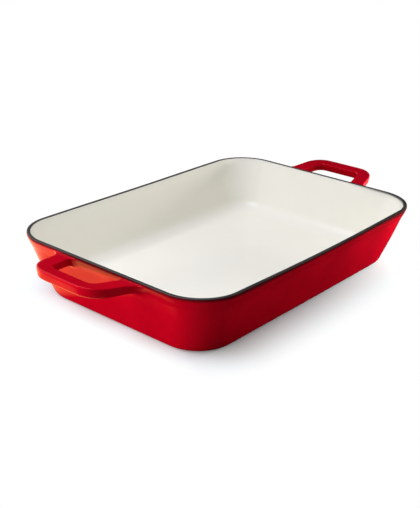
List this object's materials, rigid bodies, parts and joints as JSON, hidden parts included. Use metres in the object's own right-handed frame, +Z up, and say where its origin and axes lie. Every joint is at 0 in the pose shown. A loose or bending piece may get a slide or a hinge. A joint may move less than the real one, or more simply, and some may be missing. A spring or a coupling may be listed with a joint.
{
  "type": "baking dish",
  "caption": "Rectangular enamelled cast-iron baking dish with flared walls, rounded corners, a bare dark rim and a cast loop handle at each end.",
  "frame": {"origin": "centre of the dish at the level it stands on", "axes": "+X along the length, through both handles; +Y across the width; +Z up out of the open top"},
  "size_m": [0.4492, 0.2604, 0.067],
  "materials": {
    "cast_iron": "raw grey iron as cast, covered by the coats all over",
    "ground_enamel": "matt charcoal ground coat left bare on the rim",
    "cream_enamel": "smooth satin-gloss off-white vitreous enamel",
    "red_enamel": "glossy deep red vitreous enamel, thinner on sharp edges"
  },
  "bodies": {
    "root": {"iron_casting": "cast_iron", "rim_ground_coat": "ground_enamel", "cream_lining": "cream_enamel", "red_side_coat": "red_enamel", "red_base_coat": "red_enamel"}
  },
  "joints": []
}
